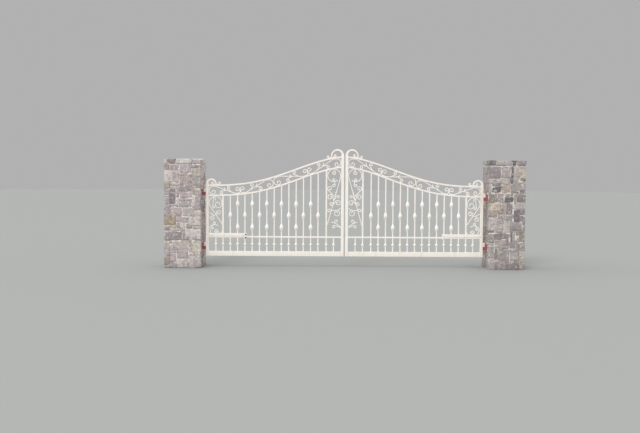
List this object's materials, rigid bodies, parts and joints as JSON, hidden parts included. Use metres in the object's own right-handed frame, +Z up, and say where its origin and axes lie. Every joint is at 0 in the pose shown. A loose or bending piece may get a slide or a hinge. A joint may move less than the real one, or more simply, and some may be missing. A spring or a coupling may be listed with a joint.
{
  "type": "driveway gate",
  "caption": "Double-leaf wrought iron driveway gate with a swept scrollwork top, hung between two fieldstone pillars.",
  "frame": {"origin": "middle of the left pillar's base, on its flat underside, at the lowest ground", "axes": "+X along the closed gate to the right pillar, +Y the side that the leaves open to, away from the picture's camera, +Z up"},
  "size_m": [6.157, 0.65, 2.0376],
  "materials": {
    "white_paint": "off-white brushed gloss paint on forged and bar iron, weathered, with a little rust at the joints",
    "red_primer": "red-brown iron primer, matt",
    "fieldstone": "split fieldstone in grey, mauve and tan, laid in pale mortar"
  },
  "bodies": {
    "pillars": {"left_pillar": "fieldstone", "right_pillar": "fieldstone", "left_top_course": "fieldstone", "right_top_course": "fieldstone", "left_upper_hinge_bracket": "red_primer", "left_lower_hinge_bracket": "red_primer", "right_upper_hinge_bracket": "red_primer", "right_lower_hinge_bracket": "red_primer"},
    "left_leaf": {"left_hinge_stile": "white_paint", "left_meeting_stile": "white_paint", "left_bottom_rail": "white_paint", "left_lower_rail": "white_paint", "left_stiffening_bar": "white_paint", "left_top_rail": "white_paint", "left_under_rail": "white_paint", "left_inner_verticals": "white_paint", "left_balusters": "white_paint", "left_pickets": "white_paint", "left_band_scrolls": "white_paint", "left_hinge_panel_scrolls": "white_paint", "left_meeting_panel_scrolls": "white_paint", "left_crooks": "white_paint", "left_hinge_barrels": "white_paint"},
    "right_leaf": {"right_hinge_stile": "white_paint", "right_meeting_stile": "white_paint", "right_bottom_rail": "white_paint", "right_lower_rail": "white_paint", "right_stiffening_bar": "white_paint", "right_top_rail": "white_paint", "right_under_rail": "white_paint", "right_inner_verticals": "white_paint", "right_balusters": "white_paint", "right_pickets": "white_paint", "right_band_scrolls": "white_paint", "right_hinge_panel_scrolls": "white_paint", "right_meeting_panel_scrolls": "white_paint", "right_crooks": "white_paint", "right_hinge_barrels": "white_paint"}
  },
  "joints": [
    {"name": "left_leaf_hinge", "type": "hinge", "parent": "pillars", "child": "left_leaf", "pos_m": [0.352, -0.115, 0.366], "axis": [0, 0, 1], "range_deg": [0, 90]},
    {"name": "right_leaf_hinge", "type": "hinge", "parent": "pillars", "child": "right_leaf", "pos_m": [5.155, -0.115, 0.375], "axis": [0, 0, -1], "range_deg": [0, 90]}
  ]
}
